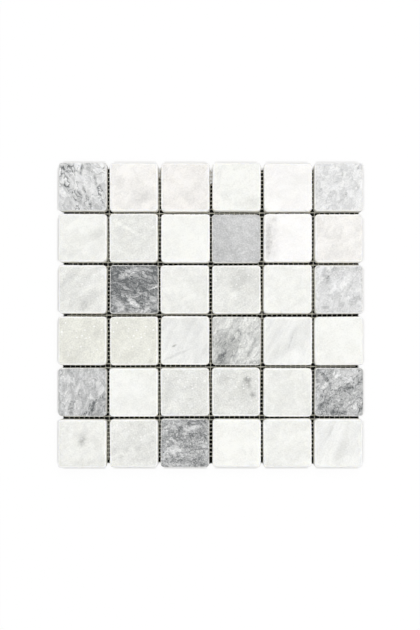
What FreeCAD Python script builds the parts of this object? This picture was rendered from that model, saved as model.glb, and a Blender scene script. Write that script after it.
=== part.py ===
import FreeCAD, Part
import math
import os

# Mosaic sheet of tumbled marble tiles on a glass-fibre net, in millimetres.
# The sheet lies flat with its net at z = 0 and its worn faces up. Row 1 is at +Y, column 1 at -X.

# Layout of the sheet
rows = 6
columns = 6
tile_side = 48.3
tile_thickness = 10.0
joint_width = 2.5

# Worn edges of a tile, from the flat face outwards and down
face_corner_radius = 1.4
shoulder_chamfer = 0.8
arris_chamfer = 1.2
rim_chamfer = 0.4
back_chamfer = 0.7
corner_facets = 5

# How far tumbled tiles differ from each other
side_scatter = 0.3
place_scatter = 0.4
turn_scatter_degrees = 0.35
radius_scatter = 0.8
thickness_scatter = 0.3
corner_tile_extra_thickness = 0.4

# Net of flat yarns: the warp runs along Y and lies lowest, the weft runs along X on top of it
yarn_thickness = 0.25
warp_width = 1.0
warp_pitch = 5.02
weft_width = 1.0
weft_pitch = 4.06
net_margin = 6.0
yarn_overhang = 1.0

# How the net lies askew under the tiles, pulled a little out of square
warp_shift = 1.15
warp_lean_degrees = 1.4
weft_shift = 1.1
weft_lean_degrees = 0.35

# Sizes that follow from those above
tile_pitch = tile_side + joint_width
sheet_width = columns * tile_side + (columns - 1) * joint_width
sheet_depth = rows * tile_side + (rows - 1) * joint_width
corner_radius = face_corner_radius + shoulder_chamfer + arris_chamfer
net_thickness = 2.0 * yarn_thickness
net_width = sheet_width - 2.0 * net_margin
net_depth = sheet_depth - 2.0 * net_margin
upward = FreeCAD.Vector(0, 0, 1)


def scatter(row, column, feature):
    """A settled value from -1 to 1, different for each feature of each tile."""
    spread = math.sin(row * 12.9 + column * 78.2 + feature * 37.7) * 437.5
    return 2.0 * (spread - math.floor(spread)) - 1.0


def tile_centre(row, column):
    """Place of a tile in the regular grid, with rows counted from +Y and columns from -X."""
    x = (column - (columns - 1) / 2.0) * tile_pitch
    y = ((rows - 1) / 2.0 - row) * tile_pitch
    return x, y


def on_sheet_corner(row, column):
    """Whether a tile lies on one of the sheet's four corners."""
    return row in (0, rows - 1) and column in (0, columns - 1)


def arc_points(centre_x, centre_y, radius, start_angle, sweep, facets):
    """Points along an arc, both ends included."""
    points = []
    for step in range(facets + 1):
        angle = start_angle + sweep * step / facets
        x = centre_x + radius * math.cos(angle)
        y = centre_y + radius * math.sin(angle)
        points.append(FreeCAD.Vector(x, y, 0))
    return points


def closed_face(points):
    """Flat face inside a closed outline."""
    return Part.Face(Part.makePolygon(points + points[:1]))


def tile_outline(width, depth, radii):
    """Face of a block about the origin, with a radius for each corner from +X +Y round to the left."""
    points = []
    for quarter, radius in enumerate(radii):
        start_angle = quarter * math.pi / 2.0
        x_side = 1.0 if quarter in (0, 3) else -1.0
        y_side = 1.0 if quarter in (0, 1) else -1.0
        centre_x = x_side * (width / 2.0 - radius)
        centre_y = y_side * (depth / 2.0 - radius)
        points += arc_points(centre_x, centre_y, radius, start_angle, math.pi / 2.0, corner_facets)
    return closed_face(points)


def edges_at_height(solid, height):
    """Edges of a solid that lie level at a height."""
    tolerance = 1e-6
    level = []
    for edge in solid.Edges:
        heights = [vertex.Z for vertex in edge.Vertexes]
        if all(abs(z - height) < tolerance for z in heights):
            level.append(edge)
    return level


def tumbled_tile(row, column):
    """One tile: a sawn block whose corners and edges are worn round in steps."""
    width = tile_side + side_scatter * scatter(row, column, 1)
    depth = tile_side + side_scatter * scatter(row, column, 2)
    thickness = tile_thickness + thickness_scatter * scatter(row, column, 3)
    if on_sheet_corner(row, column):
        thickness += corner_tile_extra_thickness
    radii = []
    for corner in range(4):
        radii.append(corner_radius + radius_scatter * scatter(row, column, 4 + corner))
    block = tile_outline(width, depth, radii).extrude(thickness * upward)
    block = block.makeChamfer(arris_chamfer, edges_at_height(block, thickness))
    block = block.makeChamfer(shoulder_chamfer, edges_at_height(block, thickness))
    block = block.makeChamfer(rim_chamfer, edges_at_height(block, thickness - arris_chamfer))
    block = block.makeChamfer(back_chamfer, edges_at_height(block, 0.0))
    block.rotate(FreeCAD.Vector(), upward, turn_scatter_degrees * scatter(row, column, 8))
    x, y = tile_centre(row, column)
    x += place_scatter * scatter(row, column, 9)
    y += place_scatter * scatter(row, column, 10)
    block.translate(FreeCAD.Vector(x, y, net_thickness))
    return block


def yarn_places(span, pitch):
    """Places of the yarns across a span, with one on the middle line and a short overhang past the last."""
    pairs = int((span / 2.0 - yarn_overhang) // pitch)
    return [step * pitch for step in range(-pairs, pairs + 1)]


def askew(x, y):
    """Where a point of the square-woven net comes to lie."""
    lean_x = y * math.tan(math.radians(warp_lean_degrees))
    lean_y = x * math.tan(math.radians(weft_lean_degrees))
    return FreeCAD.Vector(x + lean_x + warp_shift, y + lean_y + weft_shift, 0)


def yarn(centre_x, centre_y, width, depth):
    """A flat yarn at the net's underside, its outline given as woven and drawn as it lies."""
    left, right = centre_x - width / 2.0, centre_x + width / 2.0
    front, back = centre_y - depth / 2.0, centre_y + depth / 2.0
    corners = [askew(left, front), askew(right, front), askew(right, back), askew(left, back)]
    return closed_face(corners).extrude(yarn_thickness * upward)


def warp_yarns():
    """The lower yarns, which run along Y."""
    yarns = [yarn(x, 0.0, warp_width, net_depth) for x in yarn_places(net_width, warp_pitch)]
    return Part.makeCompound(yarns)


def weft_yarns():
    """The upper yarns, which run along X."""
    yarns = [yarn(0.0, y, net_width, weft_width) for y in yarn_places(net_depth, weft_pitch)]
    weft = Part.makeCompound(yarns)
    weft.translate(yarn_thickness * upward)
    return weft


os.makedirs("parts", exist_ok=True)
for row in range(rows):
    for column in range(columns):
        tumbled_tile(row, column).exportStep(f"parts/tile_r{row + 1}_c{column + 1}.step")
warp_yarns().exportStep("parts/net_warp_yarns.step")
weft_yarns().exportStep("parts/net_weft_yarns.step")
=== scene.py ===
"""Dresses a sheet of tumbled marble tiles on its glass-fibre net, and sets it on a pale studio floor."""

import math
from typing import NamedTuple

import bpy
from bpy.props import FloatProperty, FloatVectorProperty, IntProperty, PointerProperty
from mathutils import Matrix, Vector, noise


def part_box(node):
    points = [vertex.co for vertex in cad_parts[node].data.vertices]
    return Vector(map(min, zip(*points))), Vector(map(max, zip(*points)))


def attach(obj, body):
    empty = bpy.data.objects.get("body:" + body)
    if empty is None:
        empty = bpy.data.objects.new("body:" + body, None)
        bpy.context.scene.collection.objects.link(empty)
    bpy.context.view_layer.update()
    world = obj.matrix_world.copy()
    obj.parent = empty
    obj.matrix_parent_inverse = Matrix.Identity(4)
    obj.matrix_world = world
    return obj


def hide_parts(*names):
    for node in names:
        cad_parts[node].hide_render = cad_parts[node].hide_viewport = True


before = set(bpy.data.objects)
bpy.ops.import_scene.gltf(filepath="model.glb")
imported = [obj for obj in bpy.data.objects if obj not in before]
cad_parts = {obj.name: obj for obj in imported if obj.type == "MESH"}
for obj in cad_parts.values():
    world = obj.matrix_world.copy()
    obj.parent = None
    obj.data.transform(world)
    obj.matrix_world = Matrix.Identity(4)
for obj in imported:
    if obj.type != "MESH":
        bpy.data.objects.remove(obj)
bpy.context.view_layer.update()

bl_info = {
    "name": "Tumbled Marble Mosaic",
    "version": (1, 0, 0),
    "blender": (4, 5, 0),
    "location": "View3D > Sidebar > Mosaic",
    "description": "Worn marble tiles, their backing net and a studio stage",
    "category": "Object",
}

# Metres in one millimetre
MM = 0.001
BODY = "root"

# The photograph's frame in pixels, and where the middle of the sheet falls in it
IMAGE_WIDTH = 420
IMAGE_HEIGHT = 630
SHEET_MIDDLE_X = 210.75
SHEET_MIDDLE_Y = 315.0
PIXELS_PER_MM = 1.0116


class Stone(NamedTuple):
    """A kind of marble, white unless it says otherwise. Sizes are in mm. The pattern is stretched along the
    angle, in degrees. Depths say how far each part of the pattern moves the tone between dark and light."""
    level: float
    light: str = "snow_white"
    dark: str = "vein_grey"
    cloud_size: float = 20.0
    cloud_depth: float = 0.06
    cloud_edge: float = 0.22
    mottle_size: float = 6.0
    mottle_depth: float = 0.06
    warp: float = 4.0
    vein_size: float = 8.0
    vein_depth: float = 0.0
    vein_cover: float = 0.5
    wisp_depth: float = 0.0
    fold_depth: float = 0.0
    speckle: float = 0.25
    # Share of painted glints: white dots in the stone's colour that stand in for light glinting off its
    # crystals
    sparkle: float = 0.0
    glow: float = 1.0
    rim: float = 1.0
    angle: float = 30.0
    stretch: float = 1.2


# What the tone group of the shaders takes from a stone
PATTERN_TRAITS = (
    "level", "cloud_size", "cloud_depth", "cloud_edge", "mottle_size", "mottle_depth", "warp", "vein_size",
    "vein_depth", "vein_cover", "wisp_depth", "fold_depth", "speckle", "sparkle")

# What most grey stones share: crisper layers, less glow and duller rims
GREY_TRAITS = {
    "light": "grey_white", "dark": "slate_grey", "cloud_size": 9.0, "cloud_depth": 0.1, "cloud_edge": 0.1,
    "mottle_size": 5.0, "mottle_depth": 0.1, "warp": 5.0, "vein_size": 12.0, "wisp_depth": 0.1,
    "fold_depth": 0.12, "speckle": 0.4, "glow": 0.4, "rim": 0.5, "stretch": 1.5,
}


def grey_stone(level, **traits):
    """A kind of grey marble."""
    return Stone(level, **{**GREY_TRAITS, **traits})


class Mark(NamedTuple):
    """A cloud on a tile, placed from its middle and sized in mm. Grain breaks it up into flecks."""
    x: float
    y: float
    angle: float
    length: float
    width: float
    tone: float
    fade: float = 0.47
    grain: float | None = None


STONES = {
    "snow": Stone(0.955, cloud_depth=0.04, mottle_depth=0.035, speckle=0.2),
    "bright": Stone(0.955, light="bright_white", cloud_depth=0.04, mottle_depth=0.03, speckle=0.15),
    "milk": Stone(0.92, mottle_depth=0.045, sparkle=0.15),
    "pearl": Stone(0.86, sparkle=0.3),
    "blush": Stone(0.9, light="blush_white", cloud_size=14.0, cloud_depth=0.08, mottle_depth=0.055,
                   sparkle=0.25),
    "rose": Stone(0.92, light="rose_white", cloud_size=14.0, mottle_depth=0.055, sparkle=0.25),
    "mist": Stone(0.815, cloud_depth=0.08, speckle=0.4, sparkle=0.5, angle=40.0, stretch=1.5),
    "cream": Stone(0.805, light="cream_white", mottle_depth=0.05, speckle=0.4, sparkle=0.75, glow=0.7),
    "ivory": Stone(0.955, cloud_size=14.0, mottle_depth=0.04),
    "cool": Stone(0.785, speckle=0.45, sparkle=0.55),
    "veiled": Stone(0.88, light="cool_white", cloud_depth=0.08, mottle_depth=0.05, angle=62.0, stretch=2.6),
    "feathered": grey_stone(0.69, cloud_size=14.0, cloud_depth=0.11, mottle_depth=0.07, warp=4.0,
                            vein_size=13.0, vein_depth=0.46, vein_cover=0.46, speckle=0.25, glow=0.5, rim=0.6,
                            angle=-64.0),
    "patched": grey_stone(0.79, cloud_edge=0.12, mottle_size=6.0, mottle_depth=0.055, vein_depth=0.1,
                          wisp_depth=0.05, fold_depth=0.08, speckle=0.25, glow=0.6, rim=0.7, angle=55.0,
                          stretch=1.3),
    "soft_grey": grey_stone(0.57, cloud_size=16.0, cloud_depth=0.05, cloud_edge=0.22, mottle_depth=0.06,
                            warp=4.0, vein_size=10.0, wisp_depth=0.02, fold_depth=0.03, angle=-28.0,
                            stretch=1.8),
    "broken": grey_stone(0.085, cloud_depth=0.12, cloud_edge=0.06, mottle_size=4.0, mottle_depth=0.13,
                         vein_size=14.0, vein_depth=0.14, wisp_depth=0.22, fold_depth=0.2, speckle=0.3,
                         glow=0.3, angle=-14.0, stretch=1.7),
    "combed": grey_stone(0.62, light="snow_white", cloud_size=12.0, cloud_depth=0.08, mottle_size=4.0, warp=2.5,
                         vein_depth=0.16, fold_depth=0.1, angle=62.0, stretch=2.0),
    "rain": grey_stone(0.555, cloud_size=10.0, cloud_depth=0.07, mottle_depth=0.09, warp=3.0, vein_size=13.0,
                       vein_depth=0.12, wisp_depth=0.08, fold_depth=0.1, angle=84.0, stretch=1.7),
    "curled": grey_stone(0.455, cloud_depth=0.09, cloud_edge=0.08, mottle_size=4.5, vein_depth=0.22,
                         vein_cover=0.42, wisp_depth=0.12, speckle=0.35, angle=48.0, stretch=1.4),
    "rippled": grey_stone(0.42, cloud_size=8.0, cloud_depth=0.16, cloud_edge=0.07, warp=9.0, vein_depth=0.46,
                          vein_cover=0.46, wisp_depth=0.12, fold_depth=0.15, speckle=0.15, glow=0.3,
                          angle=-12.0, stretch=1.4),
}

# The stone of each tile, row 1 first and column 1 at the left
LAYOUT = (
    "feathered  blush   rose    ivory      bright  patched",
    "milk       mist    snow    soft_grey  bright  blush",
    "mist       broken  pearl   mist       milk    patched",
    "cream      cream   veiled  combed     veiled  ivory",
    "rain       milk    cool    cool       pearl   curled",
    "pearl      mist    rippled ivory      milk    veiled",
)

# Marks less dark than this are smooth clouds, and darker ones break up into flecks unless they say otherwise
CLOUD_TONE = -0.15
FLECK_GRAIN = 0.75

# Marks that single out a tile, by its row and column, with their values in the order of Mark
MARKS = {
    (1, 1): (
        (-0.5, 17.3, 75, 14, 4, -0.42, 0.4, 0.5), (-11, 15, 4, 16, 3.2, -0.36, 0.4, 0.5),
        (-20, 11.6, 45, 10, 2.5, -0.35), (-17.8, 0.5, -20, 12, 4.2, -0.38, 0.4, 0.5),
        (-17.3, 3, 80, 7, 3, -0.35), (1.8, -2.9, -68, 9, 3.4, -0.4, 0.4, 0.5),
        (5.4, -11.4, -65, 15, 3.4, -0.45), (8.4, -19.3, -79, 8, 3, -0.45), (13.3, 4.6, -75, 14, 3.4, -0.32),
        (17.3, -7.9, -70, 17, 2.8, -0.34, 0.4, 0.6), (21, -17.8, -63, 8, 3, -0.35),
        (21.5, 18.8, 60, 5, 2.2, -0.5), (-9, 7, 60, 18, 12, 0.05, 0.2), (-6, -13, 70, 22, 14, -0.13, 0.15),
        (9, 10, -60, 22, 9, -0.1, 0.2), (-16, 19, 20, 12, 6, -0.12, 0.2),
    ),
    (1, 2): ((9, -10, 20, 30, 18, -0.145), (-12, 5, 40, 16, 10, -0.07), (-6, 16, 10, 30, 12, 0.05)),
    (1, 3): ((-12, 7, 20, 12, 6, -0.06), (6, -14, 70, 16, 8, -0.05)),
    (1, 4): ((-2.6, 16.8, 0, 3.5, 2.5, -0.14), (16, -16, 40, 24, 16, -0.13), (6, 14, 10, 30, 12, 0.05)),
    (1, 5): ((0, 0, 0, 80, 80, -0.045),),
    (1, 6): (
        (23, 2.5, 85, 10, 5, 0.34, 0.2), (13, -6, 60, 9, 8, 0.16, 0.3), (19, 18.4, 60, 4, 2.8, -0.4),
        (6.8, -7.7, 85, 7, 2.8, -0.3), (-18, -5, 80, 14, 5, -0.12), (-7, 16, 40, 16, 8, 0.08),
    ),
    (2, 1): (
        (14, 4, 20, 24, 12, -0.13), (-14, -14, 10, 20, 12, -0.09), (-8, 12, 30, 30, 10, 0.07),
        (2, -8, 20, 34, 4, 0.05),
    ),
    (2, 2): ((6, 3, 45, 26, 12, -0.07), (-5.4, 8.9, -30, 42, 4, 0.13, 0.4), (5, 20, 0, 18, 8, -0.08)),
    (2, 3): ((12.6, -1, 60, 4, 2.5, -0.08),),
    (2, 4): ((-14, -14, 35, 24, 14, -0.08), (8, 16, 10, 26, 10, 0.05), (6, -14, 12, 26, 2, 0.08)),
    (2, 5): (
        (-17, -2, 88, 60, 20, -0.145, 0.8), (-20.5, -4, 86, 50, 8, -0.12, 0.5),
        (-18, -2, 88, 50, 13, -0.1, 0.6, 0.9), (-17, -4.5, 0, 3, 2.6, -0.14, 0.5),
        (-20, -9.5, 0, 3, 2.6, -0.13, 0.5), (-18.6, -15, 0, 3, 3, -0.14, 0.5), (-19.4, 3, 0, 3, 2.6, -0.1, 0.5),
        (-13.6, 17.6, 0, 6, 5, -0.18, 0.4, 0.3), (8, 0, 85, 60, 26, -0.02),
    ),
    (2, 6): ((8.9, -11, 60, 4, 3, -0.16), (2, -16, 0, 34, 9, -0.04)),
    (3, 1): (
        (-12, 12, 45, 26, 12, -0.13), (1, -16, 75, 14, 9, -0.1), (2, -2, 40, 36, 5, 0.05),
        (8, -10, 40, 34, 14, -0.1),
    ),
    (3, 2): (
        (-4, 17, 24, 34, 8, 0.28, 0.3), (-10, 12, 22, 16, 5, 0.18), (-18, 18, -20, 16, 9, -0.12),
        (-1, 6.5, -4, 60, 15, -0.03, 0.25, 0), (0, 12, 0, 70, 30, 0.02, 0.3), (15.5, 13, 10, 16, 10, -0.1),
        (19.5, 1.5, 22, 12, 2.2, 0.55), (0, -13.5, -34, 17, 7, 0.4, 0.2), (17, -14, 30, 20, 14, 0.26, 0.2),
        (8, -21.5, 5, 26, 4, 0.28), (-10, -14, 40, 34, 22, 0.05), (-14, -20, 20, 16, 5, 0.16),
        (-6, -12, 10, 50, 26, 0.13, 0.3, 0.95), (12, 1, 10, 30, 12, 0.1, 0.3, 0.95),
    ),
    (3, 4): ((5, 10, 50, 28, 18, -0.145, 0.6), (-10, -12, 30, 30, 16, 0.05)),
    (3, 5): ((10, -12, 30, 20, 12, -0.03),),
    (3, 6): (
        (-11.5, 10, 72, 10, 4, -0.34), (-7, 19, 22, 20, 5, -0.24), (18, 20, 30, 12, 9, -0.18),
        (16, -10, 50, 20, 8, -0.16), (0, 4, 40, 22, 12, 0.12, 0.3), (-15, -16, 20, 18, 12, -0.14),
        (2, -15, 60, 14, 5, -0.14), (0, 0, 0, 80, 80, -0.06),
    ),
    (4, 1): ((14, 6, 70, 20, 8, -0.08), (-6, -12, 20, 30, 14, -0.06)),
    (4, 2): ((17, -19.6, 30, 6, 4, -0.14), (4, -8, 40, 24, 12, -0.03)),
    (4, 3): (
        (0, 0, 0, 80, 80, -0.025), (-10.8, -5.3, 25, 6, 2.8, -0.45, 0.4, 0.2), (-8, -14, 23, 34, 3.2, -0.15),
        (12, -4, 30, 20, 6, -0.05),
    ),
    (4, 4): (
        (-11, -11, 76, 44, 28, -0.15, 0.6, 0.2), (-14, -11, 76, 28, 14, -0.16, 0.5, 0.3),
        (-16, -18, 70, 18, 11, -0.17, 0.4, 0.4), (15.7, -6, 60, 26, 3, -0.16),
        (3, 8, -55, 14, 3, -0.16, 0.4, 0.4), (6, 14, 20, 44, 18, 0.06, 0.6),
    ),
    (4, 5): ((2.5, -1, 72, 20, 2.4, -0.18), (5, 8, 60, 16, 5, -0.07), (-8, -8, 50, 20, 12, -0.04)),
    (5, 1): (
        (24, -24, 48, 64, 46, -0.22, 0.07, 0.3), (20, -4, 55, 14, 3.6, -0.26, 0.3, 0.3),
        (14, -8.5, 30, 10, 3.6, -0.26, 0.3, 0.3), (10.5, -14, 70, 13, 3.8, -0.28, 0.3, 0.3),
        (4, -20, 20, 13, 4.4, -0.26, 0.3, 0.3), (-9.5, -19, 80, 9, 7, -0.28, 0.3, 0.4),
        (-18, -13, 60, 16, 11, 0.12), (0, 6, 84, 30, 5, -0.09), (-21, -8.7, 10, 5, 4, -0.16),
    ),
    (5, 3): ((-16, 2, 85, 34, 14, -0.06),),
    (5, 4): (
        (10.8, 12, 20, 8.5, 7, -0.5, 0.6, 0.25), (12.6, 6.4, -70, 8, 5, -0.16, 0.7, 0.2),
        (16.6, -3, 10, 7, 6, -0.48, 0.6, 0.3), (12.5, 6, -72, 30, 14, -0.1, 0.8), (-12, 12, 40, 20, 10, -0.08),
        (5, 1, 80, 30, 12, -0.05),
    ),
    (5, 6): (
        (-2.3, 19, 80, 14, 9, 0.24, 0.2), (18, -12, 45, 16, 8, 0.22, 0.3), (-17, 8, 80, 24, 9, 0.1, 0.3),
        (5.5, 3.5, 20, 20, 8, -0.24, 0.3, 0.3), (-14.5, -9.5, 75, 28, 15, -0.17, 0.3, 0.4),
        (-3, -20, -12, 30, 8, -0.22, 0.3, 0.4), (21, 10.7, 55, 12, 4, -0.24),
        (-13.8, 14, -52, 24, 4.6, -0.28, 0.4, 0.5), (20, -18, 40, 12, 4, -0.26), (10, 15, 45, 22, 10, 0.1),
    ),
    (6, 1): (
        (0, 3.5, 80, 16, 12, -0.2, 0.7, 0.2), (0.5, 3, 80, 8, 6, -0.2, 0.6, 0.2), (0, -18, 0, 30, 8, -0.05),
    ),
    (6, 2): (
        (-8, -5.8, 30, 9, 6, -0.14), (-13, -13, 0, 6, 4, -0.2, 0.5, 0.3), (4.3, -4.8, 0, 7.5, 5.6, -0.145),
        (2, -14, 60, 20, 3, -0.06),
    ),
    (6, 3): (
        (9, 16.2, 13, 26, 5, 0.16, 0.4, 0.3), (-12, -8, 8, 28, 6, 0.18, 0.4, 0.3),
        (12, 8.6, 8, 28, 9, -0.2, 0.3, 0.3), (-5, 14.6, 52, 12, 5, -0.26, 0.4, 0.4),
        (-7, 6.6, -24, 24, 9, -0.18, 0.4, 0.4), (-10, -16.4, 5, 30, 9, -0.18, 0.3, 0.3),
        (14, -18.4, 0, 24, 10, -0.2, 0.3, 0.3), (12, 21, 3, 34, 7, -0.22, 0.3, 0.3),
        (10, -4, -8, 26, 5, -0.18, 0.4, 0.4), (0, -14, 60, 9, 7, 0.14), (-14, 18, 20, 16, 7, 0.08),
    ),
    (6, 6): (
        (0, 0, 0, 80, 80, 0.03), (-9.5, 9.5, 60, 16, 4, -0.1), (1.7, -9, 66, 36, 13, -0.13),
        (8, 11.5, 70, 20, 7, -0.08),
    ),
}

# How many layers the folds of a stone have from one end of their noise to the other
FOLD_LAYERS = 7.0

# Size of the clouds' bends beside the clouds and of the veins' gaps beside the veins, and the gaps' soft edge
BEND_SHARE = 0.7
GAP_SHARE = 1.4
GAP_EDGE = 0.12

# Details that all the stones share, in mm on the tile
FRAY_SIZE = 2.4
FRAY_REACH = 0.45
WISP_SIZE = 9.0
CRYSTAL_SIZE = 1.5
FEATHER_SIZE = 3.4
# Spacing of the painted glints
PAINTED_GLINT_SPACING = 4.0
MARK_FRAY_SIZE = 3.2
MARK_FRAY_REACH = 0.5
RIM_FRAY_SIZE = 3.0
RIM_FRAY_REACH = 0.8
BACK_FADE = 0.35
BRUISE_SIZE = 1.6
SMEAR_SIZE = 7.0
PIT_HOLE_SIZE = 1.1
RIM_CORNER_RADIUS = 3.4
THROUGH_TILE = 1000.0

# How much a mark frays with its width, how far out from its middle it has half faded, how much of the rim is
# full, and how much the sides fray beside the rim
MARK_FRAY_SHARE = 0.12
MARK_EDGE = 0.385
RIM_FULL_SHARE = 0.8
SIDE_FRAY_SHARE = 0.6

# What wear, adhesive and pits add to the roughness and the relief
WORN_ROUGHNESS = 0.20
ADHESIVE_ROUGHNESS = -0.25
WORN_RELIEF = 0.8
PIT_RELIEF = -0.8

# What brings a coloured noise about its middle up to a swing from -1 to 1
NOISE_SWING = 4.0

# Steps through the endless pattern, so that no two tiles show the same part of it
PATTERN_APART = (17.3, -29.1, 41.7)
ROW_STEP = 1.37
COLUMN_STEP = 2.11
GAPS_APART = (53.0, 11.0, 7.0)

# Share of each colour of light that the stone spreads, and the heights of its and the yarns' fine relief
GLOW_SPREAD = (1.0, 0.95, 0.80)
STONE_RELIEF = 0.12 * MM
STONE_RELIEF_STRENGTH = 0.5
YARN_RELIEF = 0.03 * MM
YARN_RELIEF_STRENGTH = 0.4

# How fine the filaments are across a yarn and along it, how dark their grooves are, and the size of the beads
ACROSS_FILAMENTS = 14.0
ALONG_FILAMENTS = 0.5
GROOVE_SHADE = 0.72
BEAD_SIZE = 1.4

# How far from the sides and the face a tile chips, and the sizes and thresholds of what the tumbler leaves
SIDE_REACH = 3.5 * MM
TOP_REACH = 4.0 * MM
WAVE_SIZE = 11.0 * MM
CHIP_SIZE = 3.2 * MM
CHIP_START = 0.10
PIT_SIZE = 1.9 * MM
PIT_START = 0.35
WEAR_APART = 9.0

# The weave: how a warp strand lies and widens where it crosses a weft yarn and between, and how the weft yields
CROSSING_WIDTH = 1.15
OPEN_WIDTH = 0.9
OPEN_LIFT = 0.15
WEFT_OPEN_WIDTH = 0.85
WEFT_CROSSING_THICKNESS = 0.85
WARP_SIDES = 5
WEFT_SIDES = 6

# How far the floor lies below the sheet, and the light of its own that keeps it white
FLOOR_DROP = 0.05 * MM
FLOOR_OWN_LIGHT = 0.90

# The ragged edge of the painted shade under the sheet, a near-black patch of floor that stands in for the shade
# in the joints, and the shade beside the outer tiles, in mm
PAINTED_SHADE_WANDER_SIZE = 9.0
PAINTED_SHADE_WANDER_REACH = 3.0
PAINTED_SHADE_EDGE = 0.7
BITE_MIDDLE = -14.0
BITE_REACH = 80.0
SHADE_EDGE = 0.3
SHADE_START = 3.0
SHADE_FULL = 5.5

# Sides and places of the softboxes
OVERHEAD_SIZE = 1.6
OVERHEAD_PLACE = (0.1, -0.4, 1.5)
FILL_SIZE = 1.3
FILL_PLACE = (0.5, 1.9, 1.8)

# Colour of white light, and the height of the camera's sensor in mm
WHITE = (1.0, 1.0, 1.0, 1.0)
SENSOR_HEIGHT = 36.0


def tint(**options):
    """A colour that a user may change."""
    return FloatVectorProperty(subtype="COLOR", min=0.0, max=1.0, **options)


def measure(**options):
    """A length that a user may change."""
    return FloatProperty(unit="LENGTH", precision=5, **options)


def portion(**options):
    """A part of a whole that a user may change."""
    return FloatProperty(subtype="FACTOR", min=0.0, max=1.0, **options)


class MosaicTileSettings(bpy.types.PropertyGroup):
    """How the tumbler wore the tiles, and how light enters their stone"""
    glow: portion(
        name="Glow", description="Share of the light that enters the stone before it comes back", default=0.5)
    glow_depth: measure(name="Glow depth", description="How deep light spreads in the stone", default=2.5 * MM)
    surface_step: measure(
        name="Surface step", description="Spacing of the worn surface's mesh", default=1.0 * MM, min=0.5 * MM)
    softening: IntProperty(
        name="Softening", description="Rounds of smoothing that round the arrises", default=2, min=0)
    undulation: measure(
        name="Undulation", description="Depth of the slow waves in faces and sides", default=0.12 * MM)
    chip_depth: measure(
        name="Chip depth", description="Depth of the chips along the arrises", default=0.55 * MM)
    pit_depth: measure(name="Pit depth", description="Depth of the small pits in the faces", default=0.22 * MM)
    # The whitened band is partly real bruising of the worn stone and partly a painted highlight
    rim_width: measure(
        name="Rim width", description="Width of the whitened band along the arrises", default=2.0 * MM)


class MosaicColourSettings(bpy.types.PropertyGroup):
    """Colours of the stone and of what holds it"""
    snow_white: tint(
        name="Snow white", description="Light part of the plain white stone", default=(0.888, 0.892, 0.860))
    bright_white: tint(
        name="Bright white", description="Light part of the whitest stone", default=(0.950, 0.940, 0.925))
    blush_white: tint(
        name="Blush white", description="Light part of the warm white stone", default=(0.903, 0.887, 0.862))
    rose_white: tint(
        name="Rose white", description="Light part of the faintly pink stone", default=(0.890, 0.870, 0.844))
    cream_white: tint(
        name="Cream white", description="Light part of the creamy stone", default=(0.885, 0.885, 0.815))
    cool_white: tint(
        name="Cool white", description="Light part of the cold white stone", default=(0.885, 0.890, 0.870))
    grey_white: tint(
        name="Grey white", description="Light part of the grey stone", default=(0.885, 0.885, 0.882))
    vein_grey: tint(
        name="Vein grey", description="Clouds and veins in white stone", default=(0.20, 0.20, 0.19))
    slate_grey: tint(
        name="Slate grey", description="Darkest part of the grey stone", default=(0.105, 0.112, 0.115))
    # Partly real bruising along the worn arrises and partly a painted highlight that keeps them bright where
    # they turn from the light; the painted glints take this colour too
    chalk_and_highlight: tint(
        name="Chalk", description="Bruised stone along the worn arrises", default=(0.985, 0.985, 0.975))
    # A warm, slightly darker tint in patches over the tile sides below the face
    side_tint: tint(
        name="Dust", description="Adhesive haze and stone dust on the sides", default=(0.86, 0.84, 0.70))
    adhesive: tint(name="Adhesive", description="Smears of set adhesive", default=(0.66, 0.63, 0.50))
    yarn: tint(name="Yarn", description="Coated glass-fibre yarn", default=(0.78, 0.76, 0.66))


class MosaicNetSettings(bpy.types.PropertyGroup):
    """How the net is woven"""
    strand_width: measure(
        name="Strand width", description="Width of one of the two twisted strands of a warp yarn",
        default=0.55 * MM)
    strand_thickness: measure(
        name="Strand thickness", description="Thickness of a warp strand", default=0.17 * MM)
    twist_reach: measure(
        name="Twist reach", description="How far a strand swings to each side of its yarn's middle",
        default=0.22 * MM)
    weft_width: measure(
        name="Weft width", description="Width of a flat weft yarn where it spreads at a crossing",
        default=1.05 * MM)
    weft_thickness: measure(
        name="Weft thickness", description="Thickness of a weft yarn between crossings", default=0.16 * MM)


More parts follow.
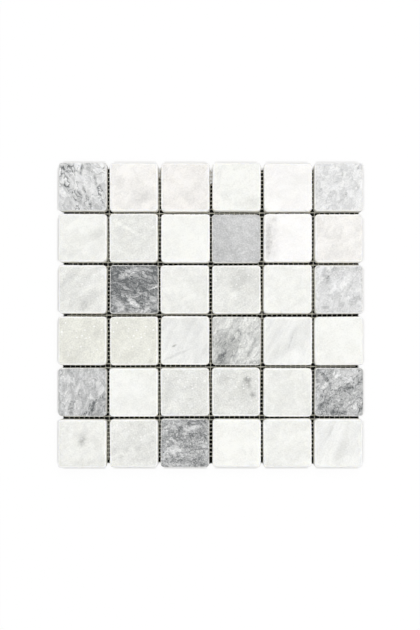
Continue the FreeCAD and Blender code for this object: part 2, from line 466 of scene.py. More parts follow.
class MosaicStageSettings(bpy.types.PropertyGroup):
    """The studio"""
    camera_height: measure(
        name="Camera height", description="Height of the camera over the tiles", default=720 * MM)
    camera_offset: measure(
        name="Camera offset", description="How far the camera stands below the sheet's middle in the picture",
        default=40 * MM)
    floor_size: measure(name="Floor size", description="Side of the floor", default=3.0)
    floor_colour: tint(name="Floor colour", description="The pale floor", default=(0.95, 0.95, 0.95))
    floor_bounce: tint(
        name="Floor bounce", description="Colour with which the floor lights the sheet's sides",
        default=(0.35, 0.35, 0.35))
    # Painted shade: a near-black patch of floor under the sheet, seen only through the joints, stands in for
    # the shade there; these settings give its colour and where its edges lie
    painted_shade_colour: tint(
        name="Bed colour", description="The dark bed under the sheet, seen only through the joints",
        default=(0.012, 0.012, 0.012))
    painted_shade_inset: measure(
        name="Bed inset", description="How far the dark bed stays inside the sheet's outline", default=3.5 * MM)
    painted_shade_back_inset: measure(
        name="Bed back inset", description="How far the dark bed stays in from the edge beyond tile row 1",
        default=5 * MM)
    painted_shade_bite: measure(
        name="Bed bite", description="How much farther in the dark bed ends under the middle of the back edge",
        default=16 * MM)
    contact_width: measure(
        name="Contact shade width", description="Seen width of the shade on the floor beside the outer tiles",
        default=0.45 * MM)
    contact_shade: portion(
        name="Contact shade", description="How much of the floor's own light the shade takes away", default=0.9)
    lamp_power: FloatProperty(
        name="Lamp power", description="Power of the overhead softbox", default=6.95, unit="POWER")
    fill_power: FloatProperty(
        name="Fill power", description="Power of the side softbox", default=12.0, unit="POWER")
    sky_strength: FloatProperty(
        name="Sky strength", description="Light of the studio's ceiling straight above", default=1.0)
    horizon_strength: FloatProperty(
        name="Horizon strength", description="Light of the studio's walls", default=0.30)


class Flow:
    """A value that runs through a node tree, so that sums of such values read as plain maths."""

    def __init__(self, socket):
        self.socket = socket
        self.tree = socket.id_data

    def __add__(self, other):
        return maths("ADD", self, other)

    def __sub__(self, other):
        return maths("SUBTRACT", self, other)

    def __rsub__(self, other):
        return maths("SUBTRACT", other, self)

    def __mul__(self, other):
        return maths("MULTIPLY", self, other)

    def __rtruediv__(self, other):
        return maths("DIVIDE", other, self)


def feed(socket, value):
    """Gives a socket a plain value, or the value that flows from another node."""
    if isinstance(value, Flow):
        value.tree.links.new(value.socket, socket)
    else:
        socket.default_value = value


def add_node(tree, kind, inputs=None, **settings):
    """Adds a shader node with its settings and inputs."""
    node = tree.nodes.new("ShaderNode" + kind)
    for name, value in settings.items():
        setattr(node, name, value)
    for name, value in (inputs or {}).items():
        feed(node.inputs[name], value)
    return node


def tree_of(values):
    """The node tree that values flow in."""
    return next(value.tree for value in values if isinstance(value, Flow))


def flow_from(tree, kind, output, inputs=None, **settings):
    """What flows from an output of a new node."""
    return Flow(add_node(tree, kind, inputs, **settings).outputs[output])


def calculation(kind, values, output, **settings):
    """What flows from a new node that calculates with values in the order of its inputs."""
    return flow_from(tree_of(values), kind, output, dict(enumerate(values)), **settings)


def maths(operation, *values, clamp=False):
    """A sum of numbers."""
    return calculation("Math", values, 0, operation=operation, use_clamp=clamp)


def vector_maths(operation, *values, output="Vector"):
    """A sum of vectors."""
    return calculation("VectorMath", values, output, operation=operation)


def scaled(vector, factor):
    """A vector times a number."""
    inputs = {"Vector": vector, "Scale": factor}
    return flow_from(tree_of((vector, factor)), "VectorMath", "Vector", inputs, operation="SCALE")


def spread_over(vector):
    """The three parts of a vector."""
    return [Flow(part) for part in add_node(vector.tree, "SeparateXYZ", {"Vector": vector}).outputs]


def vector_of(*parts):
    """A vector from its parts."""
    return calculation("CombineXYZ", parts, "Vector")


def turned_back(vector, angle):
    """A vector turned clockwise in the plane of the sheet."""
    inputs = {"Vector": vector, "Angle": angle * -1.0}
    return flow_from(vector.tree, "VectorRotate", "Vector", inputs, rotation_type="Z_AXIS")


def soft_step(value, start, end, low=0.0, high=1.0):
    """A soft step from low to high as the value goes from start to end."""
    inputs = {"Value": value, "From Min": start, "From Max": end, "To Min": low, "To Max": high}
    return flow_from(value.tree, "MapRange", "Result", inputs, interpolation_type="SMOOTHSTEP")


def mix_colour(factor, first, second):
    """A blend of two colours, which are the inputs 6 and 7 of the node and its output 2."""
    return flow_from(factor.tree, "Mix", 2, {0: factor, 6: first, 7: second}, data_type="RGBA")


def noise_value(vector, size, detail=2.0, roughness=0.5, colour=False):
    """Cloudy noise whose features have a size in the vector's units."""
    inputs = {"Vector": vector, "Scale": 1.0 / size, "Detail": detail, "Roughness": roughness}
    return flow_from(vector.tree, "TexNoise", 1 if colour else 0, inputs)


def ramp(value, low, high):
    """A straight run from low to high as the value goes from 0 to 1."""
    return maths("MULTIPLY_ADD", value, high - low, low)


def swing(value, depth):
    """Noise about zero, times a depth."""
    return ramp(value, low=-1.0, high=1.0) * depth


def shifted(vector, colour, reach):
    """A vector moved by a coloured noise, as far as a reach to each side."""
    centred = vector_maths("SUBTRACT", colour, (0.5, 0.5, 0.5))
    return vector_maths("ADD", vector, scaled(centred, reach * NOISE_SWING))


def ridge_line(value, width):
    """1 along the lines where a noise passes its middle, 0 away from them."""
    return soft_step(maths("ABSOLUTE", value - 0.5), width, 0.0)


def opaque(colour):
    """A colour with full alpha."""
    return (*colour, 1.0)


def label(trait):
    """A trait's name as a socket shows it."""
    return trait.replace("_", " ").title()


def new_group(name, inputs, outputs):
    """An empty shader node group with named sockets by kind, and its inner ends."""
    tree = bpy.data.node_groups.new(name, "ShaderNodeTree")
    for in_out, sockets in (("INPUT", inputs), ("OUTPUT", outputs)):
        for kind, names in sockets.items():
            for socket in names:
                tree.interface.new_socket(socket, in_out=in_out, socket_type="NodeSocket" + kind)
    given = {socket.name: Flow(socket) for socket in tree.nodes.new("NodeGroupInput").outputs}
    return given, tree.nodes.new("NodeGroupOutput").inputs


def use_group(name, inputs):
    """What flows from a node group that is placed where its inputs flow."""
    node = tree_of(inputs.values()).nodes.new("ShaderNodeGroup")
    node.node_tree = bpy.data.node_groups[name]
    for socket, value in inputs.items():
        feed(node.inputs[socket], value)
    return {socket.name: Flow(socket) for socket in node.outputs}


def tile_place_group():
    """Finds a point's place on its tile in mm, and in the turned and stretched run of the stone's pattern."""
    given, result = new_group(
        "Tile place", {"Vector": ("Position", "Centre"), "Float": ("Angle", "Stretch", "Seed")},
        {"Vector": ("Local", "Pattern")})
    local = vector_maths("SUBTRACT", scaled(given["Position"], 1.0 / MM), given["Centre"])
    along = vector_of(1.0 / given["Stretch"], 1.0, 1.0)
    stretched = vector_maths("MULTIPLY", turned_back(local, given["Angle"]), along)
    feed(result["Local"], local)
    feed(result["Pattern"], vector_maths("ADD", stretched, scaled(PATTERN_APART, given["Seed"])))


def marble_tone_group():
    """Clouds, mottling, broken veins and folded layers of marble, as a tone from 0, dark, to 1, light."""
    given, result = new_group(
        "Marble tone", {"Vector": ("Local", "Pattern"), "Float": [label(trait) for trait in PATTERN_TRAITS]},
        {"Float": ("Tone", "Relief", "Feather", "Painted Glint")})
    local = given["Local"]
    bend = noise_value(given["Pattern"], given["Cloud Size"] * BEND_SHARE, colour=True)
    warped = shifted(given["Pattern"], bend, given["Warp"])
    fray = noise_value(local, FRAY_SIZE, detail=4.0, roughness=0.7, colour=True)
    ragged = shifted(warped, fray, FRAY_REACH)
    clouds = noise_value(ragged, given["Cloud Size"], detail=4.0, roughness=0.58)
    banks = soft_step(clouds, start=0.5 - given["Cloud Edge"], end=given["Cloud Edge"] + 0.5)
    tone = given["Level"] + swing(banks, given["Cloud Depth"])
    specks = noise_value(ragged, given["Mottle Size"], detail=5.0, roughness=0.7)
    tone += swing(soft_step(specks, start=0.34, end=0.66), given["Mottle Depth"])
    folds = maths("FRACT", noise_value(ragged, given["Vein Size"]) * FOLD_LAYERS)
    tone += swing(folds, given["Fold Depth"])
    elsewhere = vector_maths("ADD", warped, GAPS_APART)
    gaps = noise_value(elsewhere, given["Vein Size"] * GAP_SHARE)
    cover = soft_step(gaps, start=given["Vein Cover"], end=given["Vein Cover"] + GAP_EDGE)
    tone -= soft_step(folds, start=0.28, end=0.04) * cover * given["Vein Depth"]
    wisps = ridge_line(noise_value(shifted(elsewhere, fray, FRAY_REACH), WISP_SIZE, detail=3.0), width=0.03)
    tone += wisps * given["Wisp Depth"]
    crystals = noise_value(local, CRYSTAL_SIZE, detail=3.0, roughness=0.75)
    tone += swing(crystals, given["Speckle"])
    # Painted glints: sparse white dots that stand in for light glinting off crystal faces
    grains = add_node(local.tree, "TexVoronoi", {"Vector": local, "Scale": 1.0 / PAINTED_GLINT_SPACING}).outputs
    painted_glints = soft_step(Flow(grains["Distance"]), start=0.28, end=0.18)
    chosen = soft_step(spread_over(Flow(grains["Color"]))[0], start=0.4, end=0.8)
    feather_noise = noise_value(ragged, FEATHER_SIZE, detail=4.0, roughness=0.65)
    feed(result["Tone"], tone)
    feed(result["Relief"], crystals)
    feed(result["Painted Glint"], painted_glints * chosen * given["Sparkle"])
    feed(result["Feather"], ridge_line(feather_noise, width=0.07))


def placed_mark_group():
    """A smudge or a bunch of feathery flecks at a chosen place on a tile, as a change of tone."""
    given, result = new_group(
        "Placed mark",
        {"Vector": ("Local", "Middle"),
         "Float": ("Angle", "Length", "Width", "Tone", "Fade", "Feather", "Grain")},
        {"Float": ("Tone",)})
    fray = noise_value(given["Local"], MARK_FRAY_SIZE, detail=4.0, roughness=0.65, colour=True)
    reach = maths("MULTIPLY_ADD", given["Width"], MARK_FRAY_SHARE, MARK_FRAY_REACH)
    away = vector_maths("SUBTRACT", shifted(given["Local"], fray, reach), given["Middle"])
    extent = vector_of(given["Length"], given["Width"], THROUGH_TILE)
    spread = vector_maths(
        "LENGTH", vector_maths("DIVIDE", turned_back(away, given["Angle"]), extent), output="Value")
    fade_start = maths("MULTIPLY_ADD", given["Fade"], 0.5, MARK_EDGE)
    body = soft_step(spread, start=fade_start, end=fade_start - given["Fade"])
    lines = ramp(given["Feather"], low=0.05, high=1.75)
    texture = maths("MULTIPLY_ADD", given["Grain"], lines - 1.0, 1.0)
    feed(result["Tone"], body * texture * given["Tone"])


def tile_edge_group():
    """Masks for a tile's whitened rim, which is partly bruised stone and partly a painted highlight, its sides
    and its back, from the place on the tile in mm.
    """
    given, result = new_group(
        "Tile edge",
        {"Vector": ("Local", "Half Size"),
         "Float": ("Corner Radius", "Face Height", "Back Height", "Rim Width")},
        {"Float": ("Rim", "Side", "Back")})
    place = spread_over(given["Local"])
    half = spread_over(given["Half Size"])
    past = [maths("ABSOLUTE", place[axis]) - (half[axis] - given["Corner Radius"]) for axis in (0, 1)]
    outer = vector_of(maths("MAXIMUM", past[0], 0.0), maths("MAXIMUM", past[1], 0.0))
    round_part = vector_maths("LENGTH", outer, output="Value")
    flat_part = maths("MINIMUM", maths("MAXIMUM", *past), 0.0)
    fray = noise_value(given["Local"], RIM_FRAY_SIZE, detail=4.0, roughness=0.65)
    ragged = swing(fray, RIM_FRAY_REACH)
    from_edge = given["Corner Radius"] - (round_part + flat_part) + ragged
    rim = soft_step(from_edge, start=given["Rim Width"], end=given["Rim Width"] * RIM_FULL_SHARE)
    below = given["Face Height"] - place[2]
    wall = soft_step(maths("MULTIPLY_ADD", ragged, SIDE_FRAY_SHARE, below), start=0.7, end=2.6)
    feed(result["Rim"], rim * ramp(wall, low=1.0, high=0.2))
    feed(result["Side"], wall)
    back = given["Back Height"]
    feed(result["Back"], soft_step(place[2], start=back + BACK_FADE, end=back))


def tile_finish_group():
    """Chalky rims that carry a painted highlight, painted glints, warm-tinted sides and a glued back over a
    tile's stone colour.
    """
    given, result = new_group(
        "Tile finish",
        {"Vector": ("Local",), "Color": ("Stone", "Chalk", "Dust", "Adhesive"),
         "Float": ("Relief", "Painted Glint", "Rim", "Side", "Back")},
        {"Color": ("Colour",), "Float": ("Roughness", "Height")})
    patches = noise_value(given["Local"], BRUISE_SIZE, detail=4.0, roughness=0.7)
    # Chalk on the rim: partly real bruising, partly a painted highlight on the arris
    chalk_and_highlight_share = given["Rim"] * soft_step(patches, start=0.30, end=0.60, low=0.55, high=0.95)
    colour = mix_colour(maths("MAXIMUM", chalk_and_highlight_share, given["Painted Glint"]), given["Stone"], given["Chalk"])
    # A warm, slightly darker tint in patches over the sides below the face
    side_tint_share = given["Side"] * soft_step(patches, start=0.35, end=0.65, low=0.2, high=0.5)
    colour = mix_colour(side_tint_share, colour, given["Dust"])
    smear = noise_value(given["Local"], SMEAR_SIZE, detail=3.0, roughness=0.55)
    glued = given["Back"] * soft_step(smear, start=0.42, end=0.56, low=0.25, high=0.9)
    feed(result["Colour"], mix_colour(glued, colour, given["Adhesive"]))
    worn = maths("MAXIMUM", given["Rim"], given["Side"])
    rough = maths("MULTIPLY_ADD", worn, WORN_ROUGHNESS, ramp(patches, low=0.42, high=0.72))
    feed(result["Roughness"], maths("MULTIPLY_ADD", glued, ADHESIVE_ROUGHNESS, rough, clamp=True))
    pits = soft_step(noise_value(given["Local"], PIT_HOLE_SIZE), start=0.36, end=0.30)
    height = maths("MULTIPLY_ADD", pits, PIT_RELIEF, given["Relief"])
    feed(result["Height"], maths("MULTIPLY_ADD", worn * patches, WORN_RELIEF, height))


def filament_group():
    """Fine lines along a yarn, and the beads of its coating."""
    given, result = new_group(
        "Filaments", {"Vector": ("Position", "Across"), "Color": ("Yarn", "Shade")},
        {"Color": ("Colour",), "Float": ("Roughness", "Height")})
    place = scaled(given["Position"], 1.0 / MM)
    lines = noise_value(vector_maths("MULTIPLY", place, given["Across"]), 1.0)
    beads = noise_value(place, BEAD_SIZE)
    depth = soft_step(lines, start=0.35, end=0.6)
    feed(result["Colour"], mix_colour(depth, given["Shade"], given["Yarn"]))
    feed(result["Roughness"], ramp(beads, low=0.25, high=0.75))
    feed(result["Height"], depth + beads)


GROUP_MAKERS = {
    "Tile place": tile_place_group,
    "Marble tone": marble_tone_group,
    "Placed mark": placed_mark_group,
    "Tile edge": tile_edge_group,
    "Tile finish": tile_finish_group,
    "Filaments": filament_group,
}


def ensure_groups(*names):
    """Builds the named node groups that are not there yet."""
    for name in names:
        if name not in bpy.data.node_groups:
            GROUP_MAKERS[name]()


def new_material(name):
    """An empty node material with its shader, and the place on the object."""
    material = bpy.data.materials.new(name)
    material.use_nodes = True
    tree = material.node_tree
    tree.nodes.clear()
    shader = add_node(tree, "BsdfPrincipled")
    show(shader, add_node(tree, "OutputMaterial"))
    return material, shader, flow_from(tree, "TexCoord", "Object")


def show(shader, sink):
    """Puts a shader out."""
    feed(sink.inputs["Surface"], Flow(shader.outputs[0]))


def dress(shader, finish, bump_distance, bump_strength):
    """Feeds a shader from a finish group's colour, roughness and height."""
    feed(shader.inputs["Base Color"], finish["Colour"])
    feed(shader.inputs["Roughness"], finish["Roughness"])
    relief = {"Height": finish["Height"], "Distance": bump_distance, "Strength": bump_strength}
    feed(shader.inputs["Normal"], flow_from(finish["Height"].tree, "Bump", 0, relief))


def mark_grain(mark):
    """How far a mark breaks up into flecks: as it says, or by its tone."""
    if mark.grain is not None:
        return mark.grain
    return FLECK_GRAIN if mark.tone < CLOUD_TONE else 0.0


def marble_material(name, row, column, low, high, settings, colours):
    """Marble for one tile, of the kind that the layout gives it and with its own marks."""
    stone = STONES[LAYOUT[row - 1].split()[column - 1]]
    material, shader, position = new_material(name)
    middle = (low + high) / 2.0 / MM
    half = (high - low) / 2.0 / MM
    place = use_group("Tile place", {
        "Position": position, "Centre": (middle.x, middle.y, 0.0), "Angle": math.radians(stone.angle),
        "Stretch": stone.stretch, "Seed": row * ROW_STEP + column * COLUMN_STEP})
    traits = {label(trait): getattr(stone, trait) for trait in PATTERN_TRAITS}
    pattern = use_group("Marble tone", {**place, **traits})
    tone = pattern["Tone"]
    for mark in (Mark(*values) for values in MARKS.get((row, column), ())):
        spot = use_group("Placed mark", {
            "Local": place["Local"], "Middle": (mark.x, mark.y, 0.0), "Angle": math.radians(mark.angle),
            "Length": mark.length, "Width": mark.width, "Tone": mark.tone, "Fade": mark.fade,
            "Feather": pattern["Feather"], "Grain": mark_grain(mark)})
        tone += spot["Tone"]
    body = mix_colour(
        maths("ADD", tone, 0.0, clamp=True), opaque(getattr(colours, stone.dark)),
        opaque(getattr(colours, stone.light)))
    masks = use_group("Tile edge", {
        "Local": place["Local"], "Half Size": (half.x, half.y, 0.0), "Corner Radius": RIM_CORNER_RADIUS,
        "Face Height": high.z / MM, "Back Height": low.z / MM,
        "Rim Width": settings.rim_width * stone.rim / MM})
    finish = use_group("Tile finish", {
        **masks, "Stone": body, "Relief": pattern["Relief"], "Painted Glint": pattern["Painted Glint"], "Local": place["Local"],
        "Chalk": opaque(colours.chalk_and_highlight), "Dust": opaque(colours.side_tint), "Adhesive": opaque(colours.adhesive)})
    dress(shader, finish, STONE_RELIEF, STONE_RELIEF_STRENGTH)
    shader.inputs["Subsurface Weight"].default_value = settings.glow * stone.glow
    shader.inputs["Subsurface Scale"].default_value = settings.glow_depth
    shader.inputs["Subsurface Radius"].default_value = GLOW_SPREAD
    return material


def yarn_material(name, across, colours):
    """Coated glass fibre whose filaments run along one axis."""
    material, shader, position = new_material(name)
    shade = opaque([GROOVE_SHADE * part for part in colours.yarn])
    finish = use_group("Filaments", {
        "Position": position, "Across": across, "Yarn": opaque(colours.yarn), "Shade": shade})
    dress(shader, finish, YARN_RELIEF, YARN_RELIEF_STRENGTH)
    return material


def add_object(name, data):
    """Adds an object to the scene."""
    added = bpy.data.objects.new(name, data)
    bpy.context.scene.collection.objects.link(added)
    return added


def softened_copy(node, name, step, rounds):
    """A copy of a CAD node with an even mesh and its edges rounded off."""
    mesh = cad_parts[node].data.copy()
    mesh.materials.clear()
    piece = add_object(name, mesh)
    grid = piece.modifiers.new("Even mesh", "REMESH")
    grid.mode = "VOXEL"
    grid.voxel_size = step
    grid.use_smooth_shade = True
    soft = piece.modifiers.new("Softening", "SMOOTH")
    soft.factor = 0.5
    soft.iterations = rounds
    bpy.context.view_layer.update()
    evaluated = piece.evaluated_get(bpy.context.evaluated_depsgraph_get())
    piece.data = bpy.data.meshes.new_from_object(evaluated)
    piece.data.name = name
    piece.modifiers.clear()
    return piece


def hollow(point, size, start, depth):
    """Depth of the hollows of a size at a point, where the noise passes a start."""
    return depth * max(0.0, noise.noise(point / size) - start) / (1.0 - start)


def wear_tile(piece, low, high, settings):
    """Dents, chips and slow waves cut into a tile's surface, never past its CAD box."""
    apart = Vector((0.0, 0.0, high.z * WEAR_APART))
    vertices = piece.data.vertices
    normals = [vertex.normal.copy() for vertex in vertices]
    for vertex, normal in zip(vertices, normals):
        point = vertex.co.copy()
        sample = point + apart
        side = min(point.x - low.x, high.x - point.x, point.y - low.y, high.y - point.y)
        near_side = max(0.0, 1.0 - side / SIDE_REACH)
        near_top = max(0.0, 1.0 - (high.z - point.z) / TOP_REACH)
        cut = settings.undulation * (0.5 + 0.5 * noise.noise(sample / WAVE_SIZE))
        if near_side * near_top > 0.0:
            arris = min(1.0, 2.0 * near_side * near_top)
            cut += hollow(sample, CHIP_SIZE, CHIP_START, settings.chip_depth) * arris
        cut += hollow(sample, PIT_SIZE, PIT_START, settings.pit_depth)
        place = point - normal * cut
        vertex.co = [min(max(place[axis], low[axis]), high[axis]) for axis in range(3)]


def settle(piece, material, node):
    """Gives a piece its material and its place in the model."""
    piece.data.materials.clear()
    piece.data.materials.append(material)
    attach(piece, BODY)
    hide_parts(node)


class MOSAIC_OT_marble_tiles(bpy.types.Operator):
    """Replace the CAD tiles with worn marble ones"""
    bl_idname = "mosaic.marble_tiles"
    bl_label = "Marble tiles"

    def execute(self, context):
        settings = context.scene.mosaic_tiles
        colours = context.scene.mosaic_colours
        ensure_groups("Tile place", "Marble tone", "Placed mark", "Tile edge", "Tile finish")
        for row in range(1, len(LAYOUT) + 1):
            for column in range(1, len(LAYOUT[row - 1].split()) + 1):
                node = f"tile_r{row}_c{column}"
                low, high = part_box(node)
                name = f"marble_r{row}_c{column}"
                piece = softened_copy(node, name, settings.surface_step, settings.softening)
                wear_tile(piece, low, high, settings)
                material = marble_material(
                    f"Marble r{row} c{column}", row, column, low, high, settings, colours)
                settle(piece, material, node)
        return {"FINISHED"}


def solids_of(node):
    """Corner points of each separate solid of a CAD node."""
    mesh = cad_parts[node].data
    corners = [tuple(round(value, 6) for value in vertex.co) for vertex in mesh.vertices]
    home = {corner: corner for corner in corners}

    def root(corner):
        while home[corner] != corner:
            corner = home[corner]
        return corner

    for polygon in mesh.polygons:
        first = root(corners[polygon.vertices[0]])
        for index in polygon.vertices[1:]:
            home[root(corners[index])] = first
    solids = {}
    for corner in home:
        solids.setdefault(root(corner), []).append(Vector(corner))
    return list(solids.values())


def yarn_lines(node, along):
    """Both ends of each yarn of a CAD node that runs along an axis, in order across it."""
    lines = []
    for corners in solids_of(node):
        corners.sort(key=lambda corner: corner[along])
        half = len(corners) // 2
        start = sum(corners[:half], Vector()) / half
        end = sum(corners[half:], Vector()) / half
        lines.append((start, end))
    return sorted(lines, key=lambda line: line[0][1 - along])


def crossings(line, others):
    """How far along a line, from 0 to 1, others cross it."""
    run = (line[1] - line[0]).to_2d()
    shares = []
    for other in others:
        way = (other[1] - other[0]).to_2d()
        shares.append((other[0] - line[0]).to_2d().cross(way) / run.cross(way))
    return shares


def stations(shares):
    """Places along a yarn from 0 to 1: its ends, each crossing, and the middle between crossings. Each comes
    with the number of the next crossing and whether it is one."""
    places = [(0.0, 0, False)]
    for index, share in enumerate(shares):
        if index:
            places.append(((shares[index - 1] + share) / 2.0, index, False))
        places.append((share, index, True))
    places.append((1.0, len(shares), False))
    return places


def add_tube(vertices, faces, sections, sides):
    """Adds a closed tube through sections, each a centre with two half-axes."""
    first = len(vertices)
    for centre, across, up in sections:
        for side in range(sides):
            angle = 2.0 * math.pi * side / sides
            vertices.append(centre + across * math.cos(angle) + up * math.sin(angle))
    for ring in range(len(sections) - 1):
        base = first + ring * sides
        for side in range(sides):
            following = (side + 1) % sides
            faces.append((base + side, base + following, base + sides + following, base + sides + side))
    last = first + (len(sections) - 1) * sides
    faces.append(tuple(first + side for side in reversed(range(sides))))
    faces.append(tuple(last + side for side in range(sides)))


def net_heights():
    """Lowest and highest level of the CAD net."""
    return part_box("net_warp_yarns")[0].z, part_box("net_weft_yarns")[1].z


def woven_piece(name, node, crossed, along, sides, section):
    """One smooth mesh object with a closed tube along each yarn of a CAD node. The section function gives the
    shift, half-width and half-thickness of a tube where it crosses the other node's yarns and between."""
    middle_height = sum(net_heights()) / 2.0
    lines = yarn_lines(node, along)
    places = stations(crossings(lines[0], yarn_lines(crossed, 1 - along)))
    vertices = []
    faces = []
    for start, end in lines:
        sections = []
        for share, index, crossing in places:
            centre = start.lerp(end, share)
            centre.z = middle_height
            shift, across, up = section(index, crossing)
            sections.append((centre + shift, across, up))
        add_tube(vertices, faces, sections, sides)
    mesh = bpy.data.meshes.new(name)
    mesh.from_pydata(vertices, [], faces)
    mesh.shade_smooth()
    return add_object(name, mesh)


def warp_strands(name, side, settings):
    """One strand of every warp yarn. The two strands twist round each other and hold the weft between them."""
    low, high = net_heights()
    lift = side * (high - low - settings.strand_thickness) / 2.0
    half_thickness = Vector((0.0, 0.0, settings.strand_thickness / 2.0))

    def section(index, crossing):
        swings = side * settings.twist_reach * (1.0 if index % 2 else -1.0) if crossing else 0.0
        shift = Vector((swings, 0.0, lift * (1.0 if crossing else OPEN_LIFT)))
        width = settings.strand_width * (CROSSING_WIDTH if crossing else OPEN_WIDTH)
        return shift, Vector((width / 2.0, 0.0, 0.0)), half_thickness

    return woven_piece(name, "net_warp_yarns", "net_weft_yarns", 1, WARP_SIDES, section)


def weft_strands(name, settings):
    """The flat weft yarns, which the warp strands grip."""

    def section(_, crossing):
        width = settings.weft_width * (1.0 if crossing else WEFT_OPEN_WIDTH)
        thickness = settings.weft_thickness * (WEFT_CROSSING_THICKNESS if crossing else 1.0)
        return Vector(), Vector((0.0, width / 2.0, 0.0)), Vector((0.0, 0.0, thickness / 2.0))

    return woven_piece(name, "net_weft_yarns", "net_warp_yarns", 0, WEFT_SIDES, section)


class MOSAIC_OT_backing_net(bpy.types.Operator):
    """Replace the CAD yarns with a woven net"""
    bl_idname = "mosaic.backing_net"
    bl_label = "Backing net"

    def execute(self, context):
        settings = context.scene.mosaic_net
        colours = context.scene.mosaic_colours
        ensure_groups("Filaments")
        warp_fibre = yarn_material(
            "Warp glass fibre", (ACROSS_FILAMENTS, ALONG_FILAMENTS, ACROSS_FILAMENTS), colours)
        weft_fibre = yarn_material(
            "Weft glass fibre", (ALONG_FILAMENTS, ACROSS_FILAMENTS, ACROSS_FILAMENTS), colours)
        for name, side in (("net_warp_upper", 1.0), ("net_warp_lower", -1.0)):
            settle(warp_strands(name, side, settings), warp_fibre, "net_warp_yarns")
        settle(weft_strands("net_weft", settings), weft_fibre, "net_weft_yarns")
        return {"FINISHED"}


def sheet_corners():
    """Lowest and highest corners of the CAD model."""
    lows, highs = zip(*(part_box(node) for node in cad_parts))
    low = [min(corner[axis] for corner in lows) for axis in range(3)]
    high = [max(corner[axis] for corner in highs) for axis in range(3)]
    return low, high


def tile_middle(row, column):
    """Middle of a CAD tile."""
    low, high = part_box(f"tile_r{row}_c{column}")
    return (low + high) / 2.0


def add_camera(settings):
    """A camera that looks straight down, framed as the photograph."""
    camera = bpy.data.cameras.new("Camera")
    camera.sensor_fit = "VERTICAL"
    camera.sensor_height = SENSOR_HEIGHT
    camera.lens = SENSOR_HEIGHT * PIXELS_PER_MM * settings.camera_height / MM / IMAGE_HEIGHT
    camera.shift_x = (IMAGE_WIDTH / 2.0 - SHEET_MIDDLE_X) / IMAGE_HEIGHT
    down = (SHEET_MIDDLE_Y - IMAGE_HEIGHT / 2.0) / IMAGE_HEIGHT
    camera.shift_y = down + settings.camera_offset / MM * PIXELS_PER_MM / IMAGE_HEIGHT
    viewer = add_object("Camera", camera)
    viewer.location = (0.0, -settings.camera_offset, sheet_corners()[1][2] + settings.camera_height)
    bpy.context.scene.camera = viewer


def add_softbox(name, power, size, location):
    """A square area lamp that faces the sheet."""
    lamp = bpy.data.lights.new(name, "AREA")
    lamp.energy = power
    lamp.shape = "SQUARE"
    lamp.size = size
    holder = add_object(name, lamp)
    holder.location = location
    holder.rotation_euler = Vector(location).to_track_quat("Z", "Y").to_euler()


def seen_directly(tree):
    """1 where a ray comes from the camera, a mirror or glass."""
    ray = {socket.name: Flow(socket) for socket in add_node(tree, "LightPath").outputs}
    return maths("ADD", ray["Is Camera Ray"], ray["Is Glossy Ray"] + ray["Is Transmission Ray"], clamp=True)


def contact_shade(place, settings):
    """1 on the narrow strip of floor that the camera sees close beside the outer tiles, 0 between and away from
    them."""
    low, high = sheet_corners()
    first, last = tile_middle(1, 1), tile_middle(len(LAYOUT), len(LAYOUT))
    pitch = (last.x - first.x) / (len(LAYOUT) - 1)
    depth = high[2] - low[2]
    total = 0.0
    for axis, camera in ((0, 0.0), (1, -settings.camera_offset)):
        other = 1 - axis
        along = place[other] - (low[other] + high[other]) / 2.0 / MM
        from_joint = maths("PINGPONG", along, pitch / 2.0 / MM)
        inside = maths("LESS_THAN", maths("ABSOLUTE", along), (high[other] - low[other]) / 2.0 / MM)
        beside = soft_step(from_joint, start=SHADE_START, end=SHADE_FULL) * inside
        middle = (low[axis] + high[axis]) / 2.0
        half = (high[axis] - low[axis]) / 2.0
        for side in (-1.0, 1.0):
            hidden = abs(middle + side * half - camera) * depth / settings.camera_height
            limit = (half + hidden + settings.contact_width) / MM
            outward = maths("MULTIPLY_ADD", place[axis], side, -side * middle / MM)
            band = soft_step(outward, start=limit + SHADE_EDGE, end=limit - SHADE_EDGE)
            strip = band * soft_step(outward, start=0.0, end=1.0) * beside
            total = maths("MAXIMUM", total, strip)
    return total


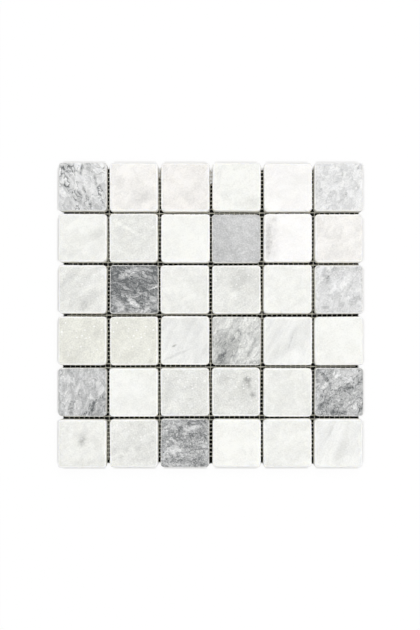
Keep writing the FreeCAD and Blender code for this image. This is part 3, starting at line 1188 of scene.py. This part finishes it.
def floor_material(settings):
    """A pale floor that keeps its shadow, with painted shade under the sheet: a near-black patch that shows
    only through the sheet's joints.
    """
    material, shader, position = new_material("Pale floor")
    low, high = sheet_corners()
    flat = scaled(position, 1.0 / MM)
    wander = swing(noise_value(flat, PAINTED_SHADE_WANDER_SIZE), 1.0)
    place = spread_over(flat)
    from_bite = maths("ABSOLUTE", place[0] - BITE_MIDDLE)
    bite = soft_step(from_bite, start=BITE_REACH, end=0.0, low=0.0, high=settings.painted_shade_bite / MM)
    borders = (
        (0, 1.0, high[0] - settings.painted_shade_inset, 0.0), (0, -1.0, -low[0] - settings.painted_shade_inset, 0.0),
        (1, 1.0, high[1] - settings.painted_shade_back_inset, bite), (1, -1.0, -low[1] - settings.painted_shade_inset, 0.0))
    # Painted shade: a near-black patch under the sheet with ragged edges, which makes the joints dark
    painted_shade = 1.0
    for axis, side, reach, push in borders:
        limit = reach / MM
        ragged = maths("MULTIPLY_ADD", wander, PAINTED_SHADE_WANDER_REACH, push)
        outward = maths("MULTIPLY_ADD", place[axis], side, ragged)
        painted_shade = soft_step(outward, start=limit + PAINTED_SHADE_EDGE, end=limit - PAINTED_SHADE_EDGE) * painted_shade
    seen = seen_directly(position.tree)
    pale = mix_colour(seen, opaque(settings.floor_bounce), opaque(settings.floor_colour))
    feed(shader.inputs["Base Color"], mix_colour(painted_shade, pale, opaque(settings.painted_shade_colour)))
    shader.inputs["Roughness"].default_value = 0.9
    shader.inputs["Specular IOR Level"].default_value = 0.0
    shade = contact_shade(place, settings)
    own_light = maths("MULTIPLY_ADD", shade, -settings.contact_shade, FLOOR_OWN_LIGHT)
    glow = flow_from(seen.tree, "Emission", 0, {"Color": WHITE, "Strength": 1.0})
    blend = add_node(
        seen.tree, "MixShader", {0: seen * (own_light * (1.0 - painted_shade)), 1: Flow(shader.outputs[0]), 2: glow})
    show(blend, next(node for node in seen.tree.nodes if node.bl_idname == "ShaderNodeOutputMaterial"))
    return material


def set_world(settings):
    """Soft light, most of it from above, white where it is seen directly."""
    world = bpy.data.worlds.new("Studio")
    world.use_nodes = True
    tree = world.node_tree
    tree.nodes.clear()
    height = spread_over(flow_from(tree, "TexCoord", "Generated"))[2]
    rise = settings.sky_strength - settings.horizon_strength
    ceiling = maths("MULTIPLY_ADD", maths("MAXIMUM", height, 0.0), rise, settings.horizon_strength)
    strength = maths("MAXIMUM", ceiling, seen_directly(tree))
    light = add_node(tree, "Background", {"Color": WHITE, "Strength": strength})
    show(light, add_node(tree, "OutputWorld"))
    bpy.context.scene.world = world


class MOSAIC_OT_stage(bpy.types.Operator):
    """Set up the floor, the softboxes, the world and the camera"""
    bl_idname = "mosaic.stage"
    bl_label = "Studio stage"

    def execute(self, context):
        settings = context.scene.mosaic_stage
        half = settings.floor_size / 2.0
        corners = [(-half, -half, 0.0), (half, -half, 0.0), (half, half, 0.0), (-half, half, 0.0)]
        mesh = bpy.data.meshes.new("Floor")
        mesh.from_pydata(corners, [], [(0, 1, 2, 3)])
        mesh.materials.append(floor_material(settings))
        floor = add_object("Floor", mesh)
        floor.location.z = sheet_corners()[0][2] - FLOOR_DROP
        add_softbox("Overhead softbox", settings.lamp_power, OVERHEAD_SIZE, OVERHEAD_PLACE)
        add_softbox("Side softbox", settings.fill_power, FILL_SIZE, FILL_PLACE)
        set_world(settings)
        add_camera(settings)
        context.scene.view_settings.view_transform = "Standard"
        return {"FINISHED"}


class MOSAIC_PT_panel(bpy.types.Panel):
    """Lists the settings and the steps"""
    bl_idname = "MOSAIC_PT_panel"
    bl_label = "Tumbled Marble Mosaic"
    bl_space_type = "VIEW_3D"
    bl_region_type = "UI"
    bl_category = "Mosaic"

    def draw(self, context):
        layout = self.layout
        for pointer, step in PANEL_SECTIONS:
            box = layout.box()
            settings = getattr(context.scene, pointer)
            for name in settings.__annotations__:
                box.prop(settings, name)
            if step:
                box.operator(step)


PANEL_SECTIONS = (
    ("mosaic_colours", None),
    ("mosaic_tiles", MOSAIC_OT_marble_tiles.bl_idname),
    ("mosaic_net", MOSAIC_OT_backing_net.bl_idname),
    ("mosaic_stage", MOSAIC_OT_stage.bl_idname),
)

SETTINGS = {
    "mosaic_colours": MosaicColourSettings,
    "mosaic_tiles": MosaicTileSettings,
    "mosaic_net": MosaicNetSettings,
    "mosaic_stage": MosaicStageSettings,
}

STEPS = (
    MOSAIC_OT_marble_tiles,
    MOSAIC_OT_backing_net,
    MOSAIC_OT_stage,
    MOSAIC_PT_panel,
)


def register():
    """Registers the classes and hangs the settings on the scene."""
    for settings in SETTINGS.values():
        bpy.utils.register_class(settings)
    for step in STEPS:
        bpy.utils.register_class(step)
    for pointer, settings in SETTINGS.items():
        setattr(bpy.types.Scene, pointer, PointerProperty(type=settings))


def unregister():
    """Takes the settings and the classes away again."""
    for pointer in SETTINGS:
        delattr(bpy.types.Scene, pointer)
    for step in reversed(STEPS):
        bpy.utils.unregister_class(step)
    for settings in reversed(SETTINGS.values()):
        bpy.utils.unregister_class(settings)


def main():
    """Dresses the part and sets its stage."""
    register()
    bpy.ops.mosaic.marble_tiles()
    bpy.ops.mosaic.backing_net()
    bpy.ops.mosaic.stage()


if __name__ == "__main__":
    main()
